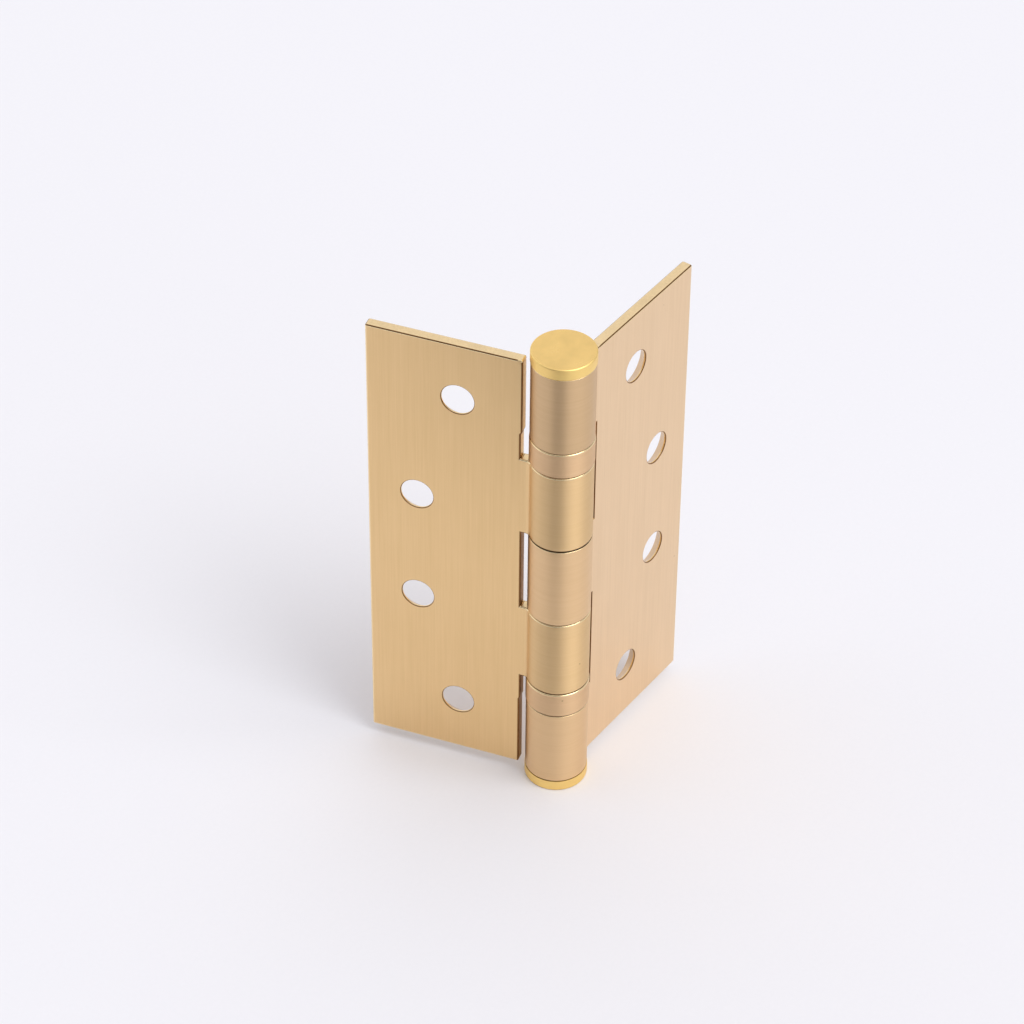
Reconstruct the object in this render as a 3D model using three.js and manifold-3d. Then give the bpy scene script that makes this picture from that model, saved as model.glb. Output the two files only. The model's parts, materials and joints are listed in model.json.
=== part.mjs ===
// Five-knuckle ball-bearing butt hinge, standing on its pin, millimetres, +Z up the pin.
// The origin is on the pin axis, at the flat end of the bottom cap.
// The three-knuckle leaf lies along +X with its plain outer face towards -Y. The two-knuckle leaf is
// its mirror image, turned about the pin by the opening angle.

import * as THREE from 'three';
import { mergeVertices } from 'three/addons/utils/BufferGeometryUtils.js';
import Module from 'manifold-3d';

const wasm = await Module();
wasm.setup();

// ---- Driving dimensions -------------------------------------------------------------------------

const leafHeight = 101.6; // a four inch hinge
const leafReach = 38.1; // pin axis to the outer edge: three inches wide when laid open
const sheet = 2.2; // thickness of the leaf
const closedGap = 1.7; // between the inner faces when the leaves are parallel
const openingAngle = 105; // between the leaves at rest, degrees

const knuckleRadius = 6.15;
const bendRadius = 1.5; // hollow bend from the flat outer face into the knuckle
const seamGap = 0.12; // between the end of the rolled eye and the leaf it is rolled back onto
const edgeBreak = 0.25; // bevel along the top and bottom edges of a leaf
const cornerRadius = 0.35; // long outer edge of a leaf

const endKnuckle = 17.5; // height of the first and last knuckle
const innerKnuckle = 18.05; // height of the second and fourth knuckle
const bearingHeight = 5.9;
const jointGap = 0.2; // axial play between neighbouring knuckles

const notchReach = 6.9; // pin axis to the edge cut back around the other leaf's knuckles
const upperBearingRelief = 0.3; // the cut beside the upper bearing goes this much deeper
const lowerBearingRelief = -0.2; // and beside the lower bearing this much less

const holePitch = 25.4;
const innerHoleReach = 19.7; // pin axis to the top and bottom screw holes
const outerHoleReach = 28.0; // pin axis to the two middle screw holes
const holeRadius = 3.3;
const holeLand = 0.4; // straight part of the hole at the outer face
const countersinkHalfAngle = 41; // degrees

const ringRadius = 6.25; // caps and bearing shells stand a little proud of the knuckles
const capThickness = 2.35;
const capGap = 0.1; // between a cap and its knuckle
const capRim = 0.35; // rounded rim of a cap
const capChamfer = 0.1; // where the cap meets the knuckle
const pinRadius = 3.8;
const spigotRadius = 1.9;
const spigotLength = 4;
const spigotPlay = 0.1;
const bearingGap = 0.1; // between a bearing and each of its knuckles

const ballRadius = 0.75;
const ballCount = 12;
const ballPitchRadius = 5;
const ballPlay = 0.05;
const shellWall = 0.38;
const shellEdge = 0.2; // chamfer of a bearing shell
const raceBore = 4;
const raceRadius = 5.8;
const raceGap = 0.96; // between the faces of the two races
const cageThickness = 0.5;
const cageBore = 3.95;
const cageRadius = 5.5;

// ---- Worked out from them -----------------------------------------------------------------------

const outerFace = closedGap / 2 + sheet; // axis plane to the outer face of a leaf
const innerFace = closedGap / 2;
const boreRadius = knuckleRadius - sheet;
const middleKnuckle = leafHeight - 2 * (endKnuckle + bearingHeight + innerKnuckle);
const leafBottom = capThickness + capGap;
const leafTop = leafBottom + leafHeight;
const leafMiddle = leafBottom + leafHeight / 2;

// Zones along the pin, from the bottom: [name, height].
const stack = [
  ['knuckle_5', endKnuckle],
  ['lower_bearing', bearingHeight],
  ['knuckle_4', innerKnuckle],
  ['knuckle_3', middleKnuckle],
  ['knuckle_2', innerKnuckle],
  ['upper_bearing', bearingHeight],
  ['knuckle_1', endKnuckle],
];
const zone = {};
let level = leafBottom;
for (const [name, height] of stack) {
  zone[name] = { low: level, high: level + height };
  level += height;
}

const barrelStep = 9; // facet of the knuckles, degrees
const bendStep = 15; // facet of the small bends, degrees
const cornerStep = 30; // facet of a rounded edge, degrees
const grooveStep = 26; // facet of a ball groove, degrees
const lathedFacets = 32;
const pocketFacets = 16;
const ballFacets = 10;
const ballRings = 6;
const overcut = 1; // how far a cutter stands out of what it cuts
const weldDistance = 1e-5;

// ---- Materials ----------------------------------------------------------------------------------

function metal(colour, roughness, metalness = 1) {
  return () => new THREE.MeshStandardMaterial({ color: colour, roughness, metalness });
}

const satinBrass = metal(0xd2ad84, 0.38);
const polishedBrass = metal(0xe6c07f, 0.24);
const pinSteel = metal(0xb9a182, 0.3);
const raceSteel = metal(0xa9a6a1, 0.28);
const ballSteel = metal(0xd3d4d6, 0.1);
const cageBrass = metal(0xb98f4e, 0.42);

// ---- Geometry helpers ---------------------------------------------------------------------------

const radians = THREE.MathUtils.degToRad;
const degrees = THREE.MathUtils.radToDeg;

function arc(centreX, centreY, radius, from, to, step) {
  const count = Math.max(1, Math.round(Math.abs(to - from) / step));
  const points = [];
  for (let i = 0; i <= count; i += 1) {
    const angle = radians(from + ((to - from) * i) / count);
    points.push(new THREE.Vector2(centreX + radius * Math.cos(angle), centreY + radius * Math.sin(angle)));
  }
  return points;
}

// Joins equal corners and drops the flat triangles a lathe leaves on its axis.
function welded(geometry) {
  const copy = geometry.clone();
  copy.deleteAttribute('normal');
  copy.deleteAttribute('uv');
  const joined = mergeVertices(copy, weldDistance);
  const corners = joined.index.array;
  const kept = [];
  for (let i = 0; i < corners.length; i += 3) {
    const [a, b, c] = corners.slice(i, i + 3);
    if (a !== b && b !== c && c !== a) {
      kept.push(a, b, c);
    }
  }
  joined.setIndex(kept);
  return joined;
}

function toManifold(geometry) {
  const source = welded(geometry);
  const mesh = new wasm.Mesh({
    numProp: 3,
    vertProperties: new Float32Array(source.attributes.position.array),
    triVerts: new Uint32Array(source.index.array),
  });
  return new wasm.Manifold(mesh);
}

function toGeometry(solid) {
  const mesh = solid.getMesh();
  const geometry = new THREE.BufferGeometry();
  geometry.setAttribute('position', new THREE.BufferAttribute(new Float32Array(mesh.vertProperties), 3));
  geometry.setIndex(new THREE.BufferAttribute(new Uint32Array(mesh.triVerts), 1));
  return geometry;
}

function cutAway(body, cutters) {
  let solid = body;
  for (const cutter of cutters) {
    solid = solid.subtract(toManifold(cutter));
  }
  return toGeometry(solid);
}

// Turns a profile of [radius, height] points about the pin axis.
function turned(profile) {
  const points = profile.map(([radius, height]) => new THREE.Vector2(radius, height));
  const geometry = new THREE.LatheGeometry(points, lathedFacets);
  geometry.rotateX(Math.PI / 2);
  return welded(geometry);
}

function part(name, geometry, material) {
  const mesh = new THREE.Mesh(geometry, material());
  mesh.name = name;
  return mesh;
}

// ---- Leaves -------------------------------------------------------------------------------------

// Centre of the hollow bend that leads from the flat outer face into the knuckle.
const bendX = Math.sqrt((knuckleRadius + bendRadius) ** 2 - (outerFace + bendRadius) ** 2);
const bendY = -(outerFace + bendRadius);
const bendDistance = knuckleRadius + bendRadius;
const bendAngle = degrees(Math.atan2(-bendY, bendX));
const eyeEndRadius = bendRadius + sheet + seamGap; // the eye's end face is curved round the same centre

// Direction from the pin axis to where the eye's end face crosses a circle about the axis.
function eyeEndAngle(radius) {
  const cosine = (radius ** 2 + bendDistance ** 2 - eyeEndRadius ** 2) / (2 * radius * bendDistance);
  return degrees(Math.acos(cosine)) - bendAngle;
}

// Direction of the same point seen from the centre of the bend.
function eyeEndFromBend(radius) {
  const angle = radians(eyeEndAngle(radius));
  return degrees(Math.atan2(radius * Math.sin(angle) - bendY, radius * Math.cos(angle) - bendX));
}

// Outline of a leaf seen along the pin, outer face at the bottom. A solid outline has no eye in it.
function leafOutline(isSolid) {
  const cornerX = leafReach - cornerRadius;
  const faceAngle = -degrees(Math.asin(innerFace / knuckleRadius));
  const lastAngle = isSolid ? faceAngle : eyeEndAngle(knuckleRadius);
  const outside = [
    ...arc(cornerX, -outerFace + cornerRadius, cornerRadius, 0, -90, cornerStep),
    ...arc(bendX, bendY, bendRadius, 90, 180 - bendAngle, bendStep),
    ...arc(0, 0, knuckleRadius, -bendAngle, lastAngle - 360, barrelStep).slice(1),
  ];
  const eye = [
    ...arc(bendX, bendY, eyeEndRadius, eyeEndFromBend(knuckleRadius), eyeEndFromBend(boreRadius), bendStep),
    ...arc(0, 0, boreRadius, eyeEndAngle(boreRadius), 360 - bendAngle, barrelStep).slice(1),
    ...arc(bendX, bendY, bendRadius + sheet, 180 - bendAngle, 90, bendStep).slice(1),
  ];
  const edge = arc(cornerX, -innerFace - cornerRadius, cornerRadius, 90, 0, cornerStep);
  return isSolid ? [...outside, ...edge] : [...outside, ...eye.slice(1), ...edge];
}

// side is -1 where the outer face looks to -Y, and 1 for the mirror image.
function leafBlank(side) {
  const shapes = [false, true].map((isSolid) => {
    const points = leafOutline(isSolid);
    return new THREE.Shape(points.map((point) => new THREE.Vector2(point.x, -side * point.y)));
  });
  const rolled = new THREE.ExtrudeGeometry(shapes[0], { depth: leafHeight, bevelEnabled: false });
  rolled.translate(0, 0, leafBottom);
  const envelope = new THREE.ExtrudeGeometry(shapes[1], {
    depth: leafHeight - 2 * edgeBreak,
    bevelEnabled: true,
    bevelThickness: edgeBreak,
    bevelSize: edgeBreak,
    bevelOffset: -edgeBreak,
    bevelSegments: 1,
  });
  envelope.translate(0, 0, leafBottom + edgeBreak);
  return toManifold(rolled).intersect(toManifold(envelope));
}

function notchCutter({ low, high }, relief = 0) {
  const reach = notchReach + relief;
  const width = reach + knuckleRadius + overcut;
  const depth = 2 * (knuckleRadius + overcut);
  const cutter = new THREE.BoxGeometry(width, depth, high - low);
  cutter.translate(reach - width / 2, 0, (low + high) / 2);
  return cutter;
}

function holeCutter(reach, height, side) {
  const slope = Math.tan(radians(countersinkHalfAngle));
  const coneTop = sheet + overcut;
  const profile = [
    new THREE.Vector2(0, -overcut),
    new THREE.Vector2(holeRadius, -overcut),
    new THREE.Vector2(holeRadius, holeLand),
    new THREE.Vector2(holeRadius + (coneTop - holeLand) * slope, coneTop),
    new THREE.Vector2(0, coneTop),
  ];
  const cutter = new THREE.LatheGeometry(profile, lathedFacets);
  cutter.translate(0, -outerFace, 0);
  if (side > 0) {
    cutter.rotateX(Math.PI);
  }
  cutter.translate(reach, 0, height);
  return welded(cutter);
}

// The two middle holes stand one pitch apart, further out than the two end holes.
function leaf(side, notches) {
  const holes = [];
  for (const end of [-1, 1]) {
    const middleHole = leafMiddle + (end * holePitch) / 2;
    const endHole = middleHole + end * holePitch;
    holes.push(holeCutter(innerHoleReach, endHole, side));
    holes.push(holeCutter(outerHoleReach, middleHole, side));
  }
  return cutAway(leafBlank(side), [...notches, ...holes]);
}

// A span of the pin, widened at the joints where the neighbouring knuckle needs its play.
function span(from, to, playBelow, playAbove) {
  const low = zone[from].low - (playBelow ? jointGap / 2 : 0);
  const high = zone[to].high + (playAbove ? jointGap / 2 : 0);
  return { low, high };
}

function beyond({ low, high }, below, above) {
  return { low: low - below, high: high + above };
}

const threeKnuckleLeaf = leaf(-1, [
  notchCutter(span('knuckle_4', 'knuckle_4', false, true)),
  notchCutter(zone.lower_bearing),
  notchCutter(span('knuckle_2', 'knuckle_2', true, false)),
  notchCutter(zone.upper_bearing),
]);

const twoKnuckleLeaf = leaf(1, [
  notchCutter(beyond(zone.knuckle_5, overcut, 0)),
  notchCutter(zone.lower_bearing, lowerBearingRelief),
  notchCutter(span('knuckle_3', 'knuckle_3', true, true)),
  notchCutter(zone.upper_bearing, upperBearingRelief),
  notchCutter(beyond(zone.knuckle_1, 0, overcut)),
]);

// ---- Pin and caps -------------------------------------------------------------------------------

function hingePin() {
  const socketRadius = spigotRadius + spigotPlay;
  const socketDepth = spigotLength + spigotPlay;
  return turned([
    [0, leafBottom + socketDepth],
    [socketRadius, leafBottom + socketDepth],
    [socketRadius, leafBottom],
    [pinRadius, leafBottom],
    [pinRadius, leafTop],
    [socketRadius, leafTop],
    [socketRadius, leafTop - socketDepth],
    [0, leafTop - socketDepth],
  ]);
}

// A flat disc with a rounded rim and a spigot that goes into the end of the pin.
function cap() {
  const rim = arc(ringRadius - capRim, capThickness - capRim, capRim, 0, 90, cornerStep);
  return turned([
    [0, -spigotLength],
    [spigotRadius, -spigotLength],
    [spigotRadius, 0],
    [ringRadius - capChamfer, 0],
    [ringRadius, capChamfer],
    ...rim.map((point) => [point.x, point.y]),
    [0, capThickness],
  ]);
}

// ---- Ball bearings ------------------------------------------------------------------------------

// Where the balls of a bearing stand round the pin.
function ballPlaces() {
  return Array.from({ length: ballCount }, (unused, index) => {
    const angle = (2 * Math.PI * index) / ballCount;
    return [ballPitchRadius * Math.cos(angle), ballPitchRadius * Math.sin(angle)];
  });
}

// One race, its ball groove upwards. Heights are measured from the underside of the bearing.
function race() {
  const low = bearingGap;
  const face = (bearingHeight - raceGap) / 2;
  const grooveRadius = ballRadius + ballPlay;
  const grooveAngle = degrees(Math.asin(raceGap / 2 / grooveRadius));
  const centre = bearingHeight / 2;
  const groove = arc(ballPitchRadius, centre, grooveRadius, -grooveAngle, grooveAngle - 180, grooveStep);
  return turned([
    [raceBore, low],
    [raceRadius, low],
    [raceRadius, face],
    ...groove.map((point) => [point.x, point.y]),
    [raceBore, face],
    [raceBore, low],
  ]);
}

// The outer sleeve of a bearing, its two visible edges chamfered.
function shell() {
  const low = bearingGap;
  const high = bearingHeight - bearingGap;
  return turned([
    [ringRadius - shellWall, low],
    [ringRadius - shellEdge, low],
    [ringRadius, low + shellEdge],
    [ringRadius, high - shellEdge],
    [ringRadius - shellEdge, high],
    [ringRadius - shellWall, high],
    [ringRadius - shellWall, low],
  ]);
}

// A flat comb: pockets open outwards, narrower at the mouth than a ball.
function cage() {
  const disc = turned([
    [cageBore, -cageThickness / 2],
    [cageRadius, -cageThickness / 2],
    [cageRadius, cageThickness / 2],
    [cageBore, cageThickness / 2],
    [cageBore, -cageThickness / 2],
  ]);
  const pocketRadius = ballRadius + ballPlay;
  const depth = cageThickness + 2 * overcut;
  const pockets = ballPlaces().map(([x, y]) => {
    const pocket = new THREE.CylinderGeometry(pocketRadius, pocketRadius, depth, pocketFacets);
    pocket.rotateX(Math.PI / 2);
    return pocket.translate(x, y, 0);
  });
  return cutAway(toManifold(disc), pockets);
}

// The shell and lower race go with the knuckle below, the upper race with the knuckle above.
function bearing(name, low, below, above, between) {
  const middle = low + bearingHeight / 2;
  const shellMesh = part(`${name}_shell`, shell(), satinBrass);
  shellMesh.position.z = low;
  const lowerRace = part(`${name}_lower_race`, race(), raceSteel);
  lowerRace.position.z = low;
  below.add(shellMesh, lowerRace);

  const upperRace = part(`${name}_upper_race`, race(), raceSteel);
  upperRace.rotation.x = Math.PI;
  upperRace.position.z = low + bearingHeight;
  above.add(upperRace);

  const cageMesh = part(`${name}_cage`, cage(), cageBrass);
  cageMesh.position.z = middle;
  between.add(cageMesh);
  ballPlaces().forEach(([x, y], index) => {
    const number = String(index + 1).padStart(2, '0');
    const ball = new THREE.SphereGeometry(ballRadius, ballFacets, ballRings);
    const ballMesh = part(`${name}_ball_${number}`, ball, ballSteel);
    ballMesh.position.set(x, y, middle);
    between.add(ballMesh);
  });
}

// ---- Assembly -----------------------------------------------------------------------------------

const hinge = new THREE.Group();
hinge.name = 'door_hinge';

const fixedSide = new THREE.Group();
const swingingSide = new THREE.Group();
swingingSide.rotation.z = radians(openingAngle);
const upperCage = new THREE.Group();
const lowerCage = new THREE.Group();
hinge.add(fixedSide, swingingSide, upperCage, lowerCage);

const topCap = part('top_cap', cap(), polishedBrass);
topCap.position.z = leafTop + capGap;
const bottomCap = part('bottom_cap', cap(), polishedBrass);
bottomCap.rotation.x = Math.PI;
bottomCap.position.z = capThickness;
fixedSide.add(part('leaf_three_knuckle', threeKnuckleLeaf, satinBrass));
fixedSide.add(part('hinge_pin', hingePin(), pinSteel), topCap, bottomCap);
swingingSide.add(part('leaf_two_knuckle', twoKnuckleLeaf, satinBrass));

bearing('upper_bearing', zone.upper_bearing.low, swingingSide, fixedSide, upperCage);
bearing('lower_bearing', zone.lower_bearing.low, fixedSide, swingingSide, lowerCage);

export default hinge;
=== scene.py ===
import json
import math

import bmesh
import bpy
from bpy.props import FloatProperty, FloatVectorProperty, IntProperty, PointerProperty
from mathutils import Matrix, Vector


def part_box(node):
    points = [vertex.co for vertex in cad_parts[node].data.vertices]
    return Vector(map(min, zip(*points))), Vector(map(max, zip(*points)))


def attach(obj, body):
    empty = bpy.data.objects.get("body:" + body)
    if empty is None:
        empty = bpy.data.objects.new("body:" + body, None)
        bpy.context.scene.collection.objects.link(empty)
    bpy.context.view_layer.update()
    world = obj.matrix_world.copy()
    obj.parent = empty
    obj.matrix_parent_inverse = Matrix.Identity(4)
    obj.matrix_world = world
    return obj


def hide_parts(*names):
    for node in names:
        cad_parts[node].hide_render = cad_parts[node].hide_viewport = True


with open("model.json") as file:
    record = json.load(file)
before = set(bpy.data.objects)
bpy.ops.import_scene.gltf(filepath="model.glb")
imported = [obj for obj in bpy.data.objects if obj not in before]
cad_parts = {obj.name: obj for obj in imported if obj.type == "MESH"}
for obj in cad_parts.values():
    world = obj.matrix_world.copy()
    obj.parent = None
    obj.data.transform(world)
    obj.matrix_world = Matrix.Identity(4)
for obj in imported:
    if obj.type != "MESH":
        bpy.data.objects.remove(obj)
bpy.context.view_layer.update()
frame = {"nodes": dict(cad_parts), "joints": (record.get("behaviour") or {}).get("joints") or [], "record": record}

bl_info = {
    "name": "Ball-bearing butt hinge",
    "version": (1, 0, 0),
    "blender": (4, 5, 0),
    "location": "View3D > Sidebar > Hinge",
    "description": "Builds a satin brass five-knuckle door hinge round its packed solids",
    "category": "Add Mesh",
}

MM = 0.001

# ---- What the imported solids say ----

FIXED, SWINGING = "fixed_leaf", "swinging_leaf"
MOUNTS = {mount["name"]: Vector(mount["pos_m"]) for mount in frame["record"]["mounts"]}
SWING = next(joint for joint in frame["joints"] if joint["name"] == "leaf_swing")
OPENING_ANGLE = -math.radians(SWING["range_deg"][0])
BALLS = {
    name: sorted(node for node in frame["nodes"] if node.startswith(name + "_bearing_ball_"))
    for name in ("upper", "lower")
}
LEAF_LOW, LEAF_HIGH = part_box("leaf_three_knuckle")
CAP_LOW, CAP_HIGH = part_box("top_cap")
PIN_LOW, PIN_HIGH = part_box("hinge_pin")
LEAF_BOTTOM, LEAF_TOP = LEAF_LOW.z, LEAF_HIGH.z
OUTER_FACE = -MOUNTS["fixed_leaf_outer_face"].y
INNER_FACE = -MOUNTS["fixed_leaf_inner_face"].y
PLAY = 0.1 * MM  # half of the gap between two knuckles, and the gap round a bearing


def bearing_zone(name):
    low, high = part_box(name + "_bearing_shell")
    return low.z - PLAY, high.z + PLAY


UPPER_BEARING, LOWER_BEARING = bearing_zone("upper"), bearing_zone("lower")


# ---- Sizes and colours a user would change ----


def length(name, description, default_mm):
    return FloatProperty(
        name=name, description=description, default=default_mm * MM, unit="LENGTH", precision=5
    )


def rotation(name, description, degrees):
    return FloatProperty(
        name=name, description=description, default=math.radians(degrees), subtype="ANGLE",
        unit="ROTATION",
    )


def colour(name, description, default):
    return FloatVectorProperty(
        name=name, description=description, default=default, subtype="COLOR", min=0, max=1
    )


class HingeSizes(bpy.types.PropertyGroup):
    knuckle_radius: length("Knuckle radius", "Outside of the rolled eyes", -LEAF_LOW.y / MM)
    bend_radius: length("Bend radius", "Hollow bend between leaf and knuckle", 1.5)
    seam_gap: length("Seam", "Gap between the end of the eye and its leaf", 0.12)
    inner_knuckle: length("Inner knuckle", "Height of the second and fourth knuckle", 18.05)
    notch_reach: length("Notch", "Pin axis to the edge cut round the other knuckles", 6.9)
    bearing_relief: length("Bearing relief", "Extra depth of the cut by the upper bearing", 0.3)
    bearing_step: length("Bearing step", "How far the edge stands out by the lower bearing", 0.2)
    hole_pitch: length("Hole pitch", "Distance between screw holes along the pin", 25.4)
    inner_hole: length("Inner holes", "Pin axis to the end holes", 19.7)
    outer_hole: length("Outer holes", "Pin axis to the middle holes", 28.0)
    hole_radius: length("Hole radius", "Screw hole at the outer face", 3.3)
    hole_land: length("Hole land", "Straight part of a screw hole", 0.4)
    countersink: rotation("Countersink", "Half angle of the cone", 41)
    edge_radius: length("Edge radius", "Rounding of the outline of the sheet", 0.36)
    cut_radius: length("Cut radius", "Rounding of the knuckles and of the cuts between them", 0.28)
    lip_radius: length("Lip radius", "Rounding of the screw hole at the outer face", 0.15)
    cap_rim: length("Cap rim", "Rounding of the rim of a cap", 0.35)
    ball_radius: length("Ball radius", "Bearing balls", 0.75)


class HingeFinish(bpy.types.PropertyGroup):
    satin: colour("Satin brass", "Leaf with three knuckles", (0.87, 0.635, 0.39))
    # painted light: the two-knuckle leaf's plate is the same brass in a warmer tint, standing for warmer light on
    # it
    satin_painted_warm_light: colour("Warm satin brass", "Leaf with two knuckles", (0.825, 0.573, 0.285))
    knuckle: colour("Knuckle brass", "First, third and fifth knuckle", (0.82, 0.57, 0.315))
    warm_knuckle: colour("Warm knuckle brass", "Second and fourth knuckle", (0.82, 0.58, 0.30))
    shell: colour("Shell brass", "Bearing shells", (0.80, 0.55, 0.315))
    cut_edge: colour("Cut edge", "Sheared edges of the sheet", (0.93, 0.71, 0.40))
    # painted highlight: a brighter cream for rims that look out and up
    rounded: colour("Rubbed edge", "Rounded rims of the sheet", (0.95, 0.74, 0.42))
    # painted shade: dark brown for cuts, joint rims, hole lips and the turn under the top edge, where shade falls
    tarnish: colour("Tarnish", "Cuts and joints that are never wiped", (0.27, 0.14, 0.055))
    countersink: colour("Countersink", "Cones of the screw holes", (0.72, 0.51, 0.31))
    polished: colour("Polished brass", "Caps", (0.93, 0.64, 0.235))
    steel: colour("Bearing steel", "Races, balls and pin", (0.56, 0.56, 0.57))
    cage: colour("Cage brass", "Stamped cages", (0.55, 0.36, 0.14))
    grain: FloatProperty(name="Grain", description="Depth of the brushing", default=1.0, min=0, max=4)


class HingeStage(bpy.types.PropertyGroup):
    lens: FloatProperty(name="Lens", description="Focal length on a 36 mm frame", default=137.43)
    distance: length("Distance", "Camera to the middle of the pin", 747.2)
    azimuth: rotation("Azimuth", "Camera round the pin", -55.01)
    elevation: rotation("Elevation", "Camera above the hinge", 40.56)
    roll: rotation("Roll", "Camera about its own line of sight", 0.557)
    pan: length("Pan", "Middle of the pin right of the line of sight", 9.12)
    tilt: length("Tilt", "Middle of the pin above the line of sight", -10.84)
    floor: colour("Floor", "Pale floor", (0.825, 0.82, 0.85))
    # painted shadow: how dark the patch is that the metal reflects in the floor; no camera stand is built
    dimming: FloatProperty(name="Dimming", description="Light kept off by the camera stand", default=0.84)
    dim_distance: length("Dimming distance", "Pin to the middle of the dim patch", 179)
    dim_radius: length("Dimming radius", "Radius of the dim patch", 112)
    dim_azimuth: rotation("Dimming azimuth", "Dim patch round the pin from below the camera", -14)
    facets: IntProperty(name="Facets", description="Faces round a turned piece", default=96, min=24)


# ---- Shader nodes written as sums ----


class Value:
    """A socket or number that ordinary sums can be written with."""

    def __init__(self, shader, socket):
        self.shader = shader
        self.socket = socket

    def sum(self, operation, *values):
        node = self.shader.node("ShaderNodeMath", {"operation": operation}, dict(enumerate(values)))
        return Value(self.shader, node.outputs[0])

    def __add__(self, other):
        return self.sum("ADD", self, other)

    __radd__ = __add__

    def __sub__(self, other):
        return self.sum("SUBTRACT", self, other)

    def __rsub__(self, other):
        return self.sum("SUBTRACT", other, self)

    def __mul__(self, other):
        return self.sum("MULTIPLY", self, other)

    __rmul__ = __mul__

    def __truediv__(self, other):
        return self.sum("DIVIDE", self, other)

    def between(self, low, high):
        """0 at low, 1 at high, smooth in between."""
        settings = {"interpolation_type": "SMOOTHSTEP"}
        inputs = {"Value": self, "From Min": low, "From Max": high}
        return Value(self.shader, self.shader.node("ShaderNodeMapRange", settings, inputs).outputs[0])


class Shader:
    """The nodes of a material, or of a world, round the one shader that it starts with."""

    def __init__(self, block):
        block.use_nodes = True
        self.block = block
        self.tree = block.node_tree
        self.surface = next(n for n in self.tree.nodes if n.type in ("BSDF_PRINCIPLED", "BACKGROUND"))

    def node(self, kind, settings, inputs):
        made = self.tree.nodes.new(kind)
        for key, setting in settings.items():
            setattr(made, key, setting)
        for key, value in inputs.items():
            self.feed(made.inputs[key], value)
        return made

    def feed(self, socket, value):
        if isinstance(value, Value):
            value = value.socket
        if isinstance(value, bpy.types.NodeSocket):
            self.tree.links.new(value, socket)
        elif value is not None:
            socket.default_value = value

    def place(self, scale, centre=(0, 0, 0)):
        """The piece's own coordinates, divided so that one unit is the given size in metres."""
        coordinates = self.node("ShaderNodeTexCoord", {}, {}).outputs["Object"]
        settings = {"vector_type": "POINT"}
        factors = tuple(1 / size for size in scale)
        shift = tuple(-place * factor for place, factor in zip(centre, factors))
        inputs = {"Vector": coordinates, "Scale": factors, "Location": shift}
        return self.node("ShaderNodeMapping", settings, inputs).outputs[0]

    def noise(self, scale, detail=2.0, roughness=0.5, centre=(0, 0, 0)):
        inputs = {"Vector": self.place(scale, centre), "Scale": 1.0, "Detail": detail,
                  "Roughness": roughness}
        return Value(self, self.node("ShaderNodeTexNoise", {}, inputs).outputs[0])

    def specks(self, spacing, size, centre=(0, 0, 0)):
        """Scattered round marks: 1 inside a mark."""
        inputs = {"Vector": self.place((spacing,) * 3, centre), "Scale": 1.0}
        near = Value(self, self.node("ShaderNodeTexVoronoi", {}, inputs).outputs["Distance"])
        return 1 - near.between(0.6 * size / spacing, size / spacing)

    def mix(self, factor, first, second):
        settings = {"data_type": "RGBA"}
        inputs = {0: factor, 6: first, 7: second}
        return self.node("ShaderNodeMix", settings, inputs).outputs[2]

    def vectors(self, operation, *values):
        return self.node("ShaderNodeVectorMath", {"operation": operation}, dict(enumerate(values)))

    def facing(self, direction, target):
        """How nearly a direction is the target's: 1 when it is."""
        return Value(self, self.vectors("DOT_PRODUCT", direction, target).outputs["Value"])

    def bump(self, height, distance, strength=1.0, normal=None):
        inputs = {"Height": height, "Distance": distance, "Strength": strength, "Normal": normal}
        return self.node("ShaderNodeBump", {}, inputs).outputs[0]

    def set(self, **inputs):
        for key, value in inputs.items():
            self.feed(self.surface.inputs[key.replace("_", " ")], value)
        return self.block


def scaled(tint, factor):
    return tuple(min(1.0, part * factor) for part in tint)


def shade(tint, factor):
    """The scaled tint with the alpha that a shader node wants."""
    return scaled(tint, factor) + (1.0,)


def grey(tint, share):
    """The colour moved towards its own grey."""
    middle = sum(tint) / 3
    return tuple(part + (middle - part) * share for part in tint)


# ---- Materials ----

ALONG = (0.16 * MM, 0.16 * MM, 14 * MM)  # grain that runs along the pin
AROUND = (26 * MM, 26 * MM, 0.13 * MM)  # grain that runs round the pin
ACROSS = 0.25  # a quarter turn of the sheen


def stretched(grain, across, along):
    """The grain made coarser across and longer along."""
    short = min(grain)
    return tuple(size * (across if size == short else along) for size in grain)


def satin_metal(name, tint, grain, roughness, anisotropy, rotation=0.0, depth=1.0, contrast=1.0):
    """Brushed brass plate: fine and coarse scratches along the grain, a cloudy sheen and a few specks."""
    shader = Shader(bpy.data.materials.new(name))
    fine = shader.noise(grain, detail=3.0, roughness=0.6)
    streaks = shader.noise(stretched(grain, 2.6, 1.6), detail=2.0, centre=(0.3, 0.1, 0.2))
    bands = shader.noise(stretched(grain, 14.0, 3.0), detail=2.0, centre=(0.7, 0.5, 0.9))
    clouds = shader.noise((11 * MM,) * 3, detail=3.0, centre=(0.2, 0.9, 0.4))
    specks = shader.specks(9 * MM, 0.22 * MM)
    tone = 0.34 * fine + 0.32 * streaks + 0.12 * bands + 0.22 * clouds
    tone = tone.between(0.30, 0.70)
    darker = shade(tint, 1 - 0.05 * contrast)
    lighter = shade(grey(tint, 0.04), 1 + 0.035 * contrast)
    surface = shader.mix(tone, darker, lighter)
    surface = shader.mix(specks * 0.45, surface, shade(tint, 0.45))
    polish = roughness + 0.06 * (0.5 - streaks) + 0.06 * (clouds - 0.5) + 0.2 * specks
    grooves = 0.6 * fine + 0.4 * streaks - 0.5 * specks
    normal = shader.bump(grooves, 0.004 * MM * depth, 0.55)
    shader.set(Base_Color=surface, Roughness=polish, Metallic=1.0, Normal=normal,
               Anisotropic=anisotropy, Anisotropic_Rotation=rotation)
    return shader.block


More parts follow.
